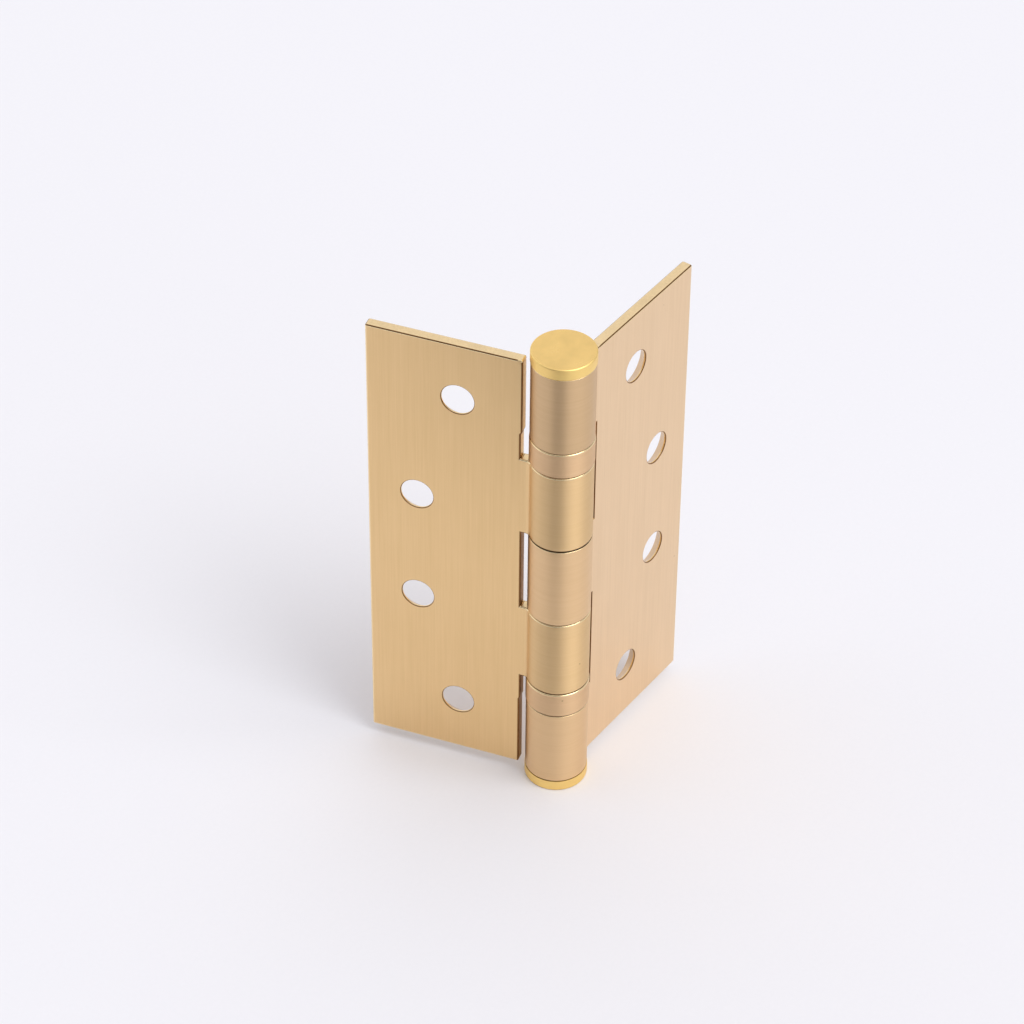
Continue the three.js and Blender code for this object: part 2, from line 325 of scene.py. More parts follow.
def sheared_metal(name, tint):
    """The cut edge of the sheet: plated bright, with faint marks across it."""
    shader = Shader(bpy.data.materials.new(name))
    marks = shader.noise((0.5 * MM, 0.5 * MM, 0.5 * MM), detail=4.0, roughness=0.65)
    wear = shader.noise((4 * MM,) * 3, detail=2.0, centre=(0.5, 0.2, 0.8))
    tone = (0.6 * marks + 0.4 * wear).between(0.3, 0.72)
    surface = shader.mix(tone, shade(tint, 0.86), shade(tint, 1.05))
    normal = shader.bump(marks, 0.012 * MM, 0.5)
    shader.set(Base_Color=surface, Roughness=0.30 + 0.12 * (marks - 0.5), Metallic=1.0, Normal=normal)
    return shader.block


def turned_metal(name, tint, roughness, anisotropy=0.0):
    """Polished brass with the faint rings of the lathe, brightest along two opposite rays."""
    shader = Shader(bpy.data.materials.new(name))
    level = shader.vectors("MULTIPLY", shader.place((1, 1, 1)), (1, 1, 0)).outputs[0]
    radius = Value(shader, shader.vectors("LENGTH", level).outputs["Value"])
    rings = shader.node("ShaderNodeCombineXYZ", {}, {0: radius / (0.11 * MM)}).outputs[0]
    lines = Value(shader, shader.node("ShaderNodeTexNoise", {"noise_dimensions": "3D"},
                                      {"Vector": rings, "Scale": 1.0, "Detail": 2.0}).outputs[0])
    clouds = shader.noise((3.2 * MM,) * 3, detail=3.0, centre=(0.4, 0.4, 0.1))
    specks = shader.specks(7 * MM, 0.14 * MM, centre=(0.1, 0.2, 0.3))
    tone = (0.45 * lines + 0.55 * clouds).between(0.3, 0.7)
    surface = shader.mix(tone, shade(tint, 0.92), shade(tint, 1.05))
    surface = shader.mix(specks * 0.35, surface, shade(tint, 0.5))
    normal = shader.bump(lines - 0.4 * specks, 0.002 * MM, 0.5)
    polish = roughness + 0.07 * (clouds - 0.5) + 0.04 * (lines - 0.5)
    shader.set(Base_Color=surface, Roughness=polish, Metallic=1.0, Normal=normal,
               Anisotropic=anisotropy, Anisotropic_Rotation=ACROSS)
    return shader.block


def ground_metal(name, tint, roughness, grain=AROUND):
    """Ground or polished steel inside the hinge, with a film of grease that dulls it in patches."""
    shader = Shader(bpy.data.materials.new(name))
    lines = shader.noise(grain, detail=2.0)
    film = shader.noise((1.6 * MM,) * 3, detail=3.0, centre=(0.6, 0.3, 0.2))
    surface = shader.mix(film.between(0.35, 0.7), shade(tint, 0.88), shade(tint, 1.06))
    normal = shader.bump(lines, 0.001 * MM, 0.4)
    polish = roughness + 0.12 * (film - 0.5) + 0.04 * (lines - 0.5)
    shader.set(Base_Color=surface, Roughness=polish, Metallic=1.0, Normal=normal)
    return shader.block


def floor_paper(name, tint, dim_centre, dim_radius, dimming):
    """Matt seamless paper with the faintest tooth. For glossy rays only, a painted shadow darkens a round patch of
    it, standing for the shade of a camera stand that isn't in the scene, so the metal reflects a dim patch;
    otherwise the paper is plain."""
    shader = Shader(bpy.data.materials.new(name))
    tooth = shader.noise((0.9 * MM,) * 3, detail=3.0)
    surface = shader.mix(tooth, shade(tint, 0.985), shade(tint, 1.01))
    away = shader.vectors("DISTANCE", shader.place((1, 1, 1)), dim_centre).outputs["Value"]
    mirrored = Value(shader, shader.node("ShaderNodeLightPath", {}, {}).outputs["Is Glossy Ray"])
    # painted shadow, seen only in reflections
    dim = mirrored * (1 - Value(shader, away).between(0.35 * dim_radius, dim_radius))
    surface = shader.mix(dim, surface, shade(tint, 1 - dimming))
    return shader.set(Base_Color=surface, Roughness=0.62, Specular_IOR_Level=0.25)


def plate(name, tint, tints):
    """The flat of a leaf, brushed along the pin."""
    return satin_metal(name, tint, ALONG, roughness=0.33, anisotropy=0.55, depth=tints.grain)


def barrel(name, tint, tints, roughness=0.48, anisotropy=0.85, contrast=0.7):
    """A knuckle or a shell, brushed round the pin."""
    return satin_metal(name, tint, AROUND, roughness, anisotropy, ACROSS, tints.grain, contrast)


def rubbed_edge(name, tint, tints):
    """A rounded edge that handling has smoothed, in a brighter tint that is a painted highlight."""
    return satin_metal(name, tint, ALONG, roughness=0.22, anisotropy=0.0, depth=0.4 * tints.grain)


# painted shade: the top knuckle's brass, the knuckle tint darkened to 0.85
def dull_knuckle(name, tints):
    return barrel(name, scaled(tints.knuckle, 0.85), tints, roughness=0.42, anisotropy=0.7, contrast=0.9)


FINISHES = {
    "satin_leaf": lambda name, tints: plate(name, tints.satin, tints),
    # painted light: the same plate in a warmer tint
    "satin_warm_leaf": lambda name, tints: plate(name, tints.satin_painted_warm_light, tints),
    "satin_knuckle": lambda name, tints: barrel(name, tints.knuckle, tints, 0.42, 0.7),
    "satin_warm_knuckle": lambda name, tints: barrel(name, tints.warm_knuckle, tints),
    "satin_shell": lambda name, tints: barrel(name, tints.shell, tints, 0.48, 0.8, 1.0),
    "dull_knuckle": dull_knuckle,
    "cut_edge": lambda name, tints: sheared_metal(name, tints.cut_edge),
    # painted highlight as well as smoother rubbing: the bright rims of the sheet, knuckles and shells
    "rounded_edge": lambda name, tints: rubbed_edge(name, tints.rounded, tints),
    # painted shade: the sheared metal in dark brown, laid where the joints and cuts are in shade
    "tarnished_edge": lambda name, tints: sheared_metal(name, tints.tarnish),
    "countersink": lambda name, tints: turned_metal(name, tints.countersink, 0.30),
    "polished_cap": lambda name, tints: turned_metal(name, tints.polished, 0.26, anisotropy=0.6),
    # painted light: the side and rim take the cap's brass a tenth brighter
    "polished_rim": lambda name, tints: turned_metal(name, scaled(tints.polished, 1.1), 0.46),
    "pin_steel": lambda name, tints: ground_metal(name, grey(tints.satin, 0.3), 0.24),
    "race_steel": lambda name, tints: ground_metal(name, tints.steel, 0.22),
    "ball_steel": lambda name, tints: ground_metal(name, scaled(tints.steel, 1.35), 0.06, (1 * MM,) * 3),
    "cage_brass": lambda name, tints: sheared_metal(name, tints.cage),
}
MATERIALS = {}


def finish(name):
    """The finish of that name, made once."""
    if name not in MATERIALS:
        MATERIALS[name] = FINISHES[name](name, bpy.context.scene.hinge_finish)
    return MATERIALS[name]


# ---- Mesh helpers ----

BEVEL = {"affect": "EDGES", "profile": 0.5, "material": -1, "offset_type": "OFFSET"}
WELD = 1e-7  # doubles closer than this are merged
TOUCH = 1e-6  # places closer than this are the same
RIM_STEPS = 4  # faces across the rounding of a knuckle or shell


def place_piece(name, bm, finishes, body, nodes, sharp=math.radians(38)):
    """Makes the mesh a piece in the row frame: smooth, with weighted normals, riding on its body."""
    bmesh.ops.remove_doubles(bm, verts=bm.verts, dist=WELD)
    bmesh.ops.recalc_face_normals(bm, faces=bm.faces)
    mesh = bpy.data.meshes.new(name)
    bm.to_mesh(mesh)
    bm.free()
    for each in finishes:
        mesh.materials.append(finish(each))
    mesh.polygons.foreach_set("use_smooth", [True] * len(mesh.polygons))
    mesh.set_sharp_from_angle(angle=sharp)
    piece = bpy.data.objects.new(name, mesh)
    bpy.context.scene.collection.objects.link(piece)
    weighted = piece.modifiers.new("Face weighted normals", "WEIGHTED_NORMAL")
    weighted.mode = "FACE_AREA"
    weighted.weight = 100
    weighted.keep_sharp = True
    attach(piece, body)
    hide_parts(*nodes)
    return piece


def turned_mesh(profile, facets):
    """Spins [radius, height] points about the pin axis. A profile off the axis closes on itself."""
    bm = bmesh.new()
    corners = [bm.verts.new((radius, 0, height)) for radius, height in profile]
    edges = [bm.edges.new(pair) for pair in zip(corners, corners[1:])]
    on_axis = profile[0][0] == 0 and profile[-1][0] == 0
    if not on_axis:
        edges.append(bm.edges.new((corners[-1], corners[0])))
    bmesh.ops.spin(
        bm, geom=corners + edges, cent=(0, 0, 0), axis=(0, 0, 1), angle=math.tau, steps=facets,
        use_merge=True,
    )
    bmesh.ops.remove_doubles(bm, verts=bm.verts, dist=WELD)
    bmesh.ops.recalc_face_normals(bm, faces=bm.faces)
    return bm


def verts_in(geometry):
    return [item for item in geometry if isinstance(item, bmesh.types.BMVert)]


def is_sharp(edge, degrees=25):
    return len(edge.link_faces) == 2 and edge.calc_face_angle() > math.radians(degrees)


def round_edges(bm, chosen, radius, segments):
    """Rounds the sharp edges that chosen accepts, and returns the new faces."""
    edges = [edge for edge in bm.edges if is_sharp(edge) and chosen(edge)]
    made = bmesh.ops.bevel(bm, geom=edges, offset=radius, segments=segments, clamp_overlap=True, **BEVEL)
    return made["faces"]


def edge_radius(edge):
    middle = (edge.verts[0].co + edge.verts[1].co) / 2
    return math.hypot(middle.x, middle.y)


# ---- Leaves: a flat blank is cut, rounded and rolled ----

# A leaf's finishes by number, in the order of its materials. The bright rim finish carries a painted highlight,
# the dark brown edge finish painted shade, and the end knuckle's darker finish painted shade.
LEAF, KNUCKLE, SHEARED, RUBBED_PAINTED_HIGHLIGHT, PAINTED_SHADE, SUNK, PAINTED_SHADE_END_KNUCKLE = range(7)
LEAF_EDGES = ("cut_edge", "rounded_edge", "tarnished_edge", "countersink", "dull_knuckle")
PAINTED_HIGHLIGHT_RISE = (0.1, 0.9)  # a rim whose normal rises between these gets the painted highlight, otherwise painted shade


def rim_finish(rise):
    """A rim gets the painted highlight where it looks out and up, and painted shade where it faces its neighbour.
    """
    return RUBBED_PAINTED_HIGHLIGHT if PAINTED_HIGHLIGHT_RISE[0] < rise < PAINTED_HIGHLIGHT_RISE[1] else PAINTED_SHADE


def from_hole(point, hole):
    """How far a point of the flat blank is from the middle of a hole."""
    return math.hypot(point.x - hole[0], point.y - hole[1])


class Leaf:
    """One leaf. In the flat, u runs from the eye's end to the outer edge and w along the pin, and the
    third coordinate is the depth below the outer face. Beyond the bend u is the distance from the axis."""

    GRID, EYE_GRID, BEND_GRID = 1.05 * MM, 0.36 * MM, 0.3 * MM
    RAMP = 0.5 * MM  # how far a change of depth in a cut is spread along the pin
    HOLE_CELL = 5.6 * MM  # half side of the square of the grid that a hole is made in
    MARGIN = 0.03 * MM  # keeps the rounded corners inside the solid's box
    EYE_OPENING = 0.45  # the eye's flat length is a full turn of its middle line less this angle
    FLAT = 0.95  # a face whose normal is this near to the third axis lies in the sheet
    BEND_SHARE = 0.8  # how much of the bend has the leaf's finish
    HOLE_ZONE = 1.6  # a face within this many radii belongs to a hole
    CUT_ZONE = 1.1  # what lies within this many notch reaches of the pin belongs to a cut
    CONE, LIP = 0.3, -0.1  # a hole's normals are above the first in its cone, below the second at its lip
    TOWARDS_FACE = (0.3, 0.9)  # normals of the top edge where it turns down to the face; these get painted shade
    OUTLINE_STEPS, LIP_STEPS = 4, 2  # faces across a rounding
    BACK_RIM = 0.1 * MM  # rounding of a countersink at the inner face
    KNUCKLE_EDGE = 0.3  # how much of the edge radius is left on the knuckles
    SHARPENING = 1.6 * MM  # how far out from the bend the edge radius reaches its full size

    def __init__(self, sizes, tabs, cuts, is_mirrored):
        self.sizes = sizes
        self.tabs = tabs
        self.cuts = cuts
        self.is_mirrored = is_mirrored
        self.thickness = OUTER_FACE - INNER_FACE
        self.radius = sizes.knuckle_radius
        self.reach = LEAF_HIGH.x - self.MARGIN
        self.bend_reach = self.radius + sizes.bend_radius
        depth = OUTER_FACE + sizes.bend_radius
        self.bend_x = math.sqrt(self.bend_reach**2 - depth**2)
        self.bend_y = -depth
        self.bend_angle = math.atan2(depth, self.bend_x)
        bend_turn = math.pi / 2 - self.bend_angle
        self.bend_length = (sizes.bend_radius + self.thickness / 2) * bend_turn
        self.eye_length = (self.radius - self.thickness / 2) * (math.tau - self.EYE_OPENING)
        self.first_u = self.bend_x - self.bend_length - self.eye_length
        self.holes = self.hole_places()

    def hole_places(self):
        middle = (LEAF_BOTTOM + LEAF_TOP) / 2
        pitch = self.sizes.hole_pitch
        near, far = self.sizes.inner_hole, self.sizes.outer_hole
        steps = (-1.5, -0.5, 0.5, 1.5)
        return [(near if abs(step) > 1 else far, middle + step * pitch) for step in steps]

    # The blank

    def stations(self, marks, spacing):
        """The marks, with the spans between them divided evenly."""
        marks = sorted(set(round(mark, 8) for mark in marks))
        places = []
        for low, high in zip(marks, marks[1:]):
            count = max(1, round((high - low) / spacing))
            places += [low + (high - low) * step / count for step in range(count)]
        return places + [marks[-1]]

    def columns(self):
        eye_end = self.bend_x - self.bend_length
        eye = self.stations([self.first_u, eye_end], self.EYE_GRID)
        bend = self.stations([eye_end, self.bend_x], self.BEND_GRID)
        cell = self.HOLE_CELL
        marks = [self.bend_x, self.sizes.notch_reach, self.reach]
        for reach in (self.sizes.inner_hole, self.sizes.outer_hole):
            marks += [reach - cell, reach + cell]
        return eye[:-1] + bend[:-1] + self.stations(marks, self.GRID)

    def rows(self):
        marks = [LEAF_BOTTOM, LEAF_TOP]
        for span in self.tabs:
            marks += span
        for low, high, relief in self.cuts:
            marks += [low - self.RAMP, low, high, high + self.RAMP]
        for reach, height in self.holes:
            marks += [height - self.HOLE_CELL, height + self.HOLE_CELL]
        return self.stations(marks, self.GRID)

    def is_metal(self, u, w):
        if u < self.sizes.notch_reach:
            return any(low < w < high for low, high in self.tabs)
        cell = self.HOLE_CELL
        return not any(abs(u - reach) < cell and abs(w - height) < cell for reach, height in self.holes)

    def blank(self):
        """A flat grid in the shape of the leaf, with round holes."""
        columns, rows = self.columns(), self.rows()
        bm = bmesh.new()
        bmesh.ops.create_grid(bm, x_segments=len(columns) - 1, y_segments=len(rows) - 1, size=1)
        for vert in bm.verts:
            column = round((vert.co.x + 1) / 2 * (len(columns) - 1))
            row = round((vert.co.y + 1) / 2 * (len(rows) - 1))
            vert.co = (columns[column], rows[row], 0)
        waste = [face for face in bm.faces if not self.is_metal(*face.calc_center_median().xy)]
        bmesh.ops.delete(bm, geom=waste, context="FACES")
        for vert in bm.verts:
            if abs(vert.co.x - self.sizes.notch_reach) < TOUCH:
                vert.co.x += self.relief(vert)
        for reach, height in self.holes:
            self.open_hole(bm, reach, height)
        return bm

    def relief(self, vert):
        """How much deeper a cut goes at one of its corners in the grid."""
        if not any(len(edge.link_faces) == 1 for edge in vert.link_edges):
            return 0
        depths = [relief for low, high, relief in self.cuts if low - TOUCH < vert.co.y < high + TOUCH]
        return depths[0] if depths else 0

    def open_hole(self, bm, reach, height):
        """Draws the edge of the square opening in to a circle."""
        centre = Vector((reach, height, 0))
        limit = self.HOLE_CELL + TOUCH
        border = [
            edge for edge in bm.edges
            if len(edge.link_faces) == 1
            and all(max(abs(v.co.x - reach), abs(v.co.y - height)) < limit for v in edge.verts)
        ]
        made = bmesh.ops.extrude_edge_only(bm, edges=border)
        for vert in verts_in(made["geom"]):
            vert.co = centre + (vert.co - centre).normalized() * self.sizes.hole_radius

    # The plate

    def thicken(self, bm):
        """Gives the blank its thickness and opens the countersinks."""
        made = bmesh.ops.extrude_face_region(bm, geom=list(bm.faces), use_keep_orig=True)
        bmesh.ops.translate(bm, verts=verts_in(made["geom"]), vec=(0, 0, self.thickness))
        bmesh.ops.recalc_face_normals(bm, faces=bm.faces)
        for hole in self.holes:
            self.countersink(bm, hole)

    def countersink(self, bm, hole):
        """Divides the wall of a hole below its land and spreads the back of it into a cone."""
        land = self.sizes.hole_land
        wall = 1.01 * self.sizes.hole_radius
        upright = [
            edge for edge in bm.edges
            if abs(edge.verts[0].co.z - edge.verts[1].co.z) > land
            and all(from_hole(vert.co, hole) < wall for vert in edge.verts)
        ]
        cut = bmesh.ops.subdivide_edges(bm, edges=upright, cuts=1)
        for vert in verts_in(cut["geom_inner"]):
            vert.co.z = land
        widening = (self.thickness - land) * math.tan(self.sizes.countersink)
        spread = 1 + widening / self.sizes.hole_radius
        for vert in bm.verts:
            if from_hole(vert.co, hole) < wall and vert.co.z > 1.5 * land:
                vert.co.x = hole[0] + (vert.co.x - hole[0]) * spread
                vert.co.y = hole[1] + (vert.co.y - hole[1]) * spread

    def is_at_hole(self, edge):
        limit = 0.95 * self.HOLE_CELL
        return any(all(from_hole(vert.co, hole) < limit for vert in edge.verts) for hole in self.holes)

    def is_lip(self, edge):
        """Whether an edge is the mouth of a hole in the outer face."""
        return self.is_at_hole(edge) and max(vert.co.z for vert in edge.verts) < TOUCH

    def is_back_rim(self, edge):
        """Whether an edge is the mouth of a countersink in the inner face."""
        return self.is_at_hole(edge) and min(vert.co.z for vert in edge.verts) > self.thickness - TOUCH

    def is_outline(self, edge):
        """Whether an edge lies along the top, the bottom or the outer edge of the leaf."""
        return any(
            all(abs(vert.co[axis] - limit) < TOUCH for vert in edge.verts)
            for axis, limit in ((1, LEAF_BOTTOM), (1, LEAF_TOP), (0, self.reach))
        )

    def is_cut(self, edge):
        """Whether an edge is left from cutting the knuckles free."""
        limit = self.CUT_ZONE * self.sizes.notch_reach
        return not self.is_at_hole(edge) and all(vert.co.x < limit for vert in edge.verts)

    def paint(self, bm, outline, cuts):
        """Numbers the faces by finish, while the leaf is still flat."""
        eye_end = self.bend_x - self.BEND_SHARE * self.bend_length
        for face in bm.faces:
            face.material_index = self.plain_finish(face, face.calc_center_median(), eye_end)
        for face in outline:
            if face.is_valid:
                in_eye = face.calc_center_median().x < eye_end
                face.material_index = rim_finish(face.normal.y) if in_eye else self.outline_finish(face)
        for face in cuts:
            if face.is_valid:
                face.material_index = rim_finish(face.normal.y)

    def plain_finish(self, face, middle, eye_end):
        """The finish of a face that isn't part of a rounding."""
        is_plate = abs(face.normal.z) > self.FLAT
        if is_plate and middle.x > eye_end:
            return LEAF
        if is_plate:
            # the top knuckle gets the darker copy of the knuckle finish: painted shade
            return PAINTED_SHADE_END_KNUCKLE if middle.y > UPPER_BEARING[1] else KNUCKLE
        if min(from_hole(middle, hole) for hole in self.holes) < self.HOLE_ZONE * self.sizes.hole_radius:
            return self.hole_finish(face.normal.z)
        # faces in the eye and sheltered faces in the cuts get painted shade
        return PAINTED_SHADE if middle.x < eye_end or self.is_sheltered(face, middle) else SHEARED

    def hole_finish(self, inward):
        """The cone is plain, the straight part gets the smoother rubbed finish with a painted highlight, and the
        lip gets painted shade.
        """
        if inward > self.CONE:
            return SUNK
        return PAINTED_SHADE if inward < self.LIP else RUBBED_PAINTED_HIGHLIGHT

    def is_sheltered(self, face, middle):
        """Whether a face is in a cut below the top one and doesn't look up: such faces get painted shade."""
        in_cut = middle.x < self.CUT_ZONE * self.sizes.notch_reach and middle.y < UPPER_BEARING[0]
        return in_cut and face.normal.y < 0.5

    def outline_finish(self, face):
        """The top edge keeps the bright finish with its painted highlight above, and gets painted shade where it
        turns down to the face of the leaf.
        """
        low, high = self.TOWARDS_FACE
        return PAINTED_SHADE if low < face.normal.y < high else RUBBED_PAINTED_HIGHLIGHT

    def sharpened(self, point):
        """Draws the rounding in towards the corner where the top and bottom edges reach the knuckle."""
        u, w, depth = point
        radius = self.sizes.edge_radius
        share = min(1, max(0, (u - self.bend_x) / self.SHARPENING))
        scale = self.KNUCKLE_EDGE + (1 - self.KNUCKLE_EDGE) * share
        end = min((LEAF_BOTTOM, LEAF_TOP), key=lambda level: abs(level - w))
        face = 0 if depth < self.thickness / 2 else self.thickness
        if abs(w - end) < 1.01 * radius and abs(depth - face) < 1.01 * radius:
            return Vector((u, end + (w - end) * scale, face + (depth - face) * scale))
        return point

    # The roll

    def eye_end_turn(self, radius):
        """How far round the pin, from the bend, the eye's end face lies at that radius."""
        end = self.sizes.bend_radius + self.thickness + self.sizes.seam_gap
        cosine = (radius**2 + self.bend_reach**2 - end**2) / (2 * radius * self.bend_reach)
        return math.tau - math.acos(min(1.0, cosine))

    def roll(self, point):
        """Where a point of the flat plate goes when the eye is rolled."""
        u, w, depth = point
        if u >= self.bend_x:
            return Vector((u, depth - OUTER_FACE, w))
        turned = (self.bend_x - u) / self.bend_length
        if turned <= 1:
            angle = math.pi / 2 + turned * (math.pi / 2 - self.bend_angle)
            radius = self.sizes.bend_radius + depth
            across, down = radius * math.cos(angle), radius * math.sin(angle)
            return Vector((self.bend_x + across, self.bend_y + down, w))
        radius = self.radius - depth
        share = (self.bend_x - self.bend_length - u) / self.eye_length
        angle = -self.bend_angle - share * self.eye_end_turn(radius)
        return Vector((radius * math.cos(angle), radius * math.sin(angle), w))

    def mesh(self):
        """The finished leaf, in its place at rest."""
        sizes = self.sizes
        bm = self.blank()
        self.thicken(bm)
        outline = round_edges(bm, self.is_outline, sizes.edge_radius, self.OUTLINE_STEPS)
        cuts = round_edges(bm, self.is_cut, sizes.cut_radius, RIM_STEPS)
        round_edges(bm, self.is_lip, sizes.lip_radius, self.LIP_STEPS)
        round_edges(bm, self.is_back_rim, self.BACK_RIM, self.LIP_STEPS)
        self.paint(bm, outline, cuts)
        for vert in bm.verts:
            vert.co = self.roll(self.sharpened(vert.co))
        if self.is_mirrored:
            bmesh.ops.scale(bm, vec=(1, -1, 1), verts=bm.verts)
            turn = Matrix.Rotation(OPENING_ANGLE, 3, "Z")
            bmesh.ops.rotate(bm, cent=(0, 0, 0), matrix=turn, verts=bm.verts)
        return bm


class HINGE_OT_leaves(bpy.types.Operator):
    """Cut and roll both leaves"""

    bl_idname = "hinge.leaves"
    bl_label = "Leaves"

    def execute(self, context):
        sizes = context.scene.hinge_sizes
        middle_low = LOWER_BEARING[1] + sizes.inner_knuckle
        middle_high = UPPER_BEARING[0] - sizes.inner_knuckle
        three = Leaf(
            sizes,
            tabs=[
                (LEAF_BOTTOM, LOWER_BEARING[0]),
                (middle_low + PLAY, middle_high - PLAY),
                (UPPER_BEARING[1], LEAF_TOP),
            ],
            cuts=[],
            is_mirrored=False,
        )
        two = Leaf(
            sizes,
            tabs=[(LOWER_BEARING[1], middle_low - PLAY), (middle_high + PLAY, UPPER_BEARING[0])],
            cuts=[
                (LOWER_BEARING[0], LOWER_BEARING[1], -sizes.bearing_step),
                (UPPER_BEARING[0], UPPER_BEARING[1], sizes.bearing_relief),
            ],
            is_mirrored=True,
        )
        plain = ("satin_leaf", "satin_knuckle", *LEAF_EDGES)
        warm = ("satin_warm_leaf", "satin_warm_knuckle", *LEAF_EDGES)
        place_piece("three_knuckle_leaf", three.mesh(), plain, FIXED, ["leaf_three_knuckle"])
        place_piece("two_knuckle_leaf", two.mesh(), warm, SWINGING, ["leaf_two_knuckle"])
        return {"FINISHED"}


# ---- Pin and caps ----


class HINGE_OT_pin(bpy.types.Operator):
    """Turn the pin, drilled at both ends for the spigots of the caps"""

    bl_idname = "hinge.pin"
    bl_label = "Pin"

    SOCKET_RADIUS, SOCKET_DEPTH = 2 * MM, 4.1 * MM
    END_RADIUS, END_STEPS = 0.3 * MM, 3

    def execute(self, context):
        radius = PIN_HIGH.x
        low, high = PIN_LOW.z, PIN_HIGH.z
        profile = [
            (0, low + self.SOCKET_DEPTH),
            (self.SOCKET_RADIUS, low + self.SOCKET_DEPTH),
            (self.SOCKET_RADIUS, low),
            (radius, low),
            (radius, high),
            (self.SOCKET_RADIUS, high),
            (self.SOCKET_RADIUS, high - self.SOCKET_DEPTH),
            (0, high - self.SOCKET_DEPTH),
        ]
        bm = turned_mesh(profile, context.scene.hinge_stage.facets)
        round_edges(bm, lambda edge: edge_radius(edge) > 0.9 * radius, self.END_RADIUS, self.END_STEPS)
        place_piece("pin", bm, ("pin_steel",), FIXED, ["hinge_pin"])
        return {"FINISHED"}


class HINGE_OT_caps(bpy.types.Operator):
    """Turn both flat end caps"""

    bl_idname = "hinge.caps"
    bl_label = "Caps"

    SPIGOT_RADIUS, SPIGOT_LENGTH = 1.9 * MM, 4 * MM
    FOOT_RADIUS = 0.1 * MM  # where the side of the cap meets the knuckle
    RIM_FACES, FOOT_FACES = 5, 2
    FACE_RING = 0.55  # share of the radius where the face has a ring of corners
    FACE, SIDE = 0, 1
    LEVEL = 0.98  # how far the normals of the face rise

    def cap(self, context, radius, thickness):
        """A cap with the underside of its disc at height 0 and its spigot below."""
        profile = [
            (0, -self.SPIGOT_LENGTH),
            (self.SPIGOT_RADIUS, -self.SPIGOT_LENGTH),
            (self.SPIGOT_RADIUS, 0),
            (radius, 0),
            (radius, thickness),
            (self.FACE_RING * radius, thickness),
            (0, thickness),
        ]
        bm = turned_mesh(profile, context.scene.hinge_stage.facets)

        def is_side(edge):
            return edge_radius(edge) > 0.9 * radius

        def is_rim(edge):
            return is_side(edge) and min(vert.co.z for vert in edge.verts) > 0.9 * thickness

        round_edges(bm, is_rim, context.scene.hinge_sizes.cap_rim, self.RIM_FACES)
        round_edges(bm, is_side, self.FOOT_RADIUS, self.FOOT_FACES)
        for face in bm.faces:
            face.material_index = self.FACE if face.normal.z > self.LEVEL else self.SIDE
        return bm

    def execute(self, context):
        low = CAP_LOW.z + self.SPIGOT_LENGTH
        thickness = CAP_HIGH.z - low
        for name, height, turn in (("top_cap", low, 0), ("bottom_cap", thickness, math.pi)):
            bm = self.cap(context, CAP_HIGH.x, thickness)
            bmesh.ops.rotate(bm, cent=(0, 0, 0), matrix=Matrix.Rotation(turn, 3, "X"), verts=bm.verts)
            bmesh.ops.translate(bm, vec=(0, 0, height), verts=bm.verts)
            finishes = ("polished_cap", "polished_rim")
            place_piece(f"polished_{name}", bm, finishes, FIXED, [name])
        return {"FINISHED"}


# ---- Ball bearings ----


class HINGE_OT_shells(bpy.types.Operator):
    """Turn the two bearing shells that show between the knuckles"""

    bl_idname = "hinge.shells"
    bl_label = "Bearing shells"

    WALL = 0.38 * MM

    def execute(self, context):
        for name, body in (("upper", SWINGING), ("lower", FIXED)):
            node = name + "_bearing_shell"
            low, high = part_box(node)
            profile = [
                (high.x - self.WALL, low.z),
                (high.x, low.z),
                (high.x, high.z),
                (high.x - self.WALL, high.z),
            ]
            bm = turned_mesh(profile, context.scene.hinge_stage.facets)
            outside = high.x - 0.2 * self.WALL
            radius = context.scene.hinge_sizes.cut_radius
            rim = round_edges(bm, lambda edge: edge_radius(edge) > outside, radius, RIM_STEPS)
            for face in rim:
                # rims that rise part way get the painted highlight, the rest painted shade
                face.material_index = 1 if rim_finish(face.normal.z) == RUBBED_PAINTED_HIGHLIGHT else 2
            finishes = ("satin_shell", "rounded_edge", "tarnished_edge")
            place_piece(name + "_shell", bm, finishes, body, [node])
        return {"FINISHED"}


class HINGE_OT_races(bpy.types.Operator):
    """Turn the four races, each with a ball groove"""

    bl_idname = "hinge.races"
    bl_label = "Races"

    BORE, PITCH_RADIUS, BALL_PLAY = 4 * MM, 5 * MM, 0.05 * MM
    RIM_RADIUS, RIM_FACES = 0.08 * MM, 2
    GROOVE_STEPS = 14

    def groove(self, ball, face):
        """The hollow that the balls run in, cut into a face at that height from their middle."""
        half = math.acos(abs(face) / ball)
        places = []
        for step in range(self.GROOVE_STEPS + 1):
            angle = half * (1 - 2 * step / self.GROOVE_STEPS)
            across = self.PITCH_RADIUS + ball * math.sin(angle)
            places.append((across, math.copysign(ball * math.cos(angle), face)))
        return places

    def execute(self, context):
        ball = context.scene.hinge_sizes.ball_radius + self.BALL_PLAY
        for name, below, above in (("upper", SWINGING, FIXED), ("lower", FIXED, SWINGING)):
            zone = UPPER_BEARING if name == "upper" else LOWER_BEARING
            middle = (zone[0] + zone[1]) / 2
            for side, body, turn in (("lower", below, 1), ("upper", above, -1)):
                node = f"{name}_bearing_{side}_race"
                low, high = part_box(node)
                face = (high.z if turn > 0 else low.z) - middle
                back = (low.z if turn > 0 else high.z) - middle
                profile = [(self.BORE, back), (high.x, back), (high.x, face)]
                profile += [*self.groove(ball, face), (self.BORE, face)]
                bm = turned_mesh(profile, context.scene.hinge_stage.facets)
                bmesh.ops.translate(bm, vec=(0, 0, middle), verts=bm.verts)
                outside = 0.98 * high.x
                round_edges(bm, lambda edge: edge_radius(edge) > outside, self.RIM_RADIUS, self.RIM_FACES)
                place_piece(f"{name}_{side}_race", bm, ("race_steel",), body, [node])
        return {"FINISHED"}


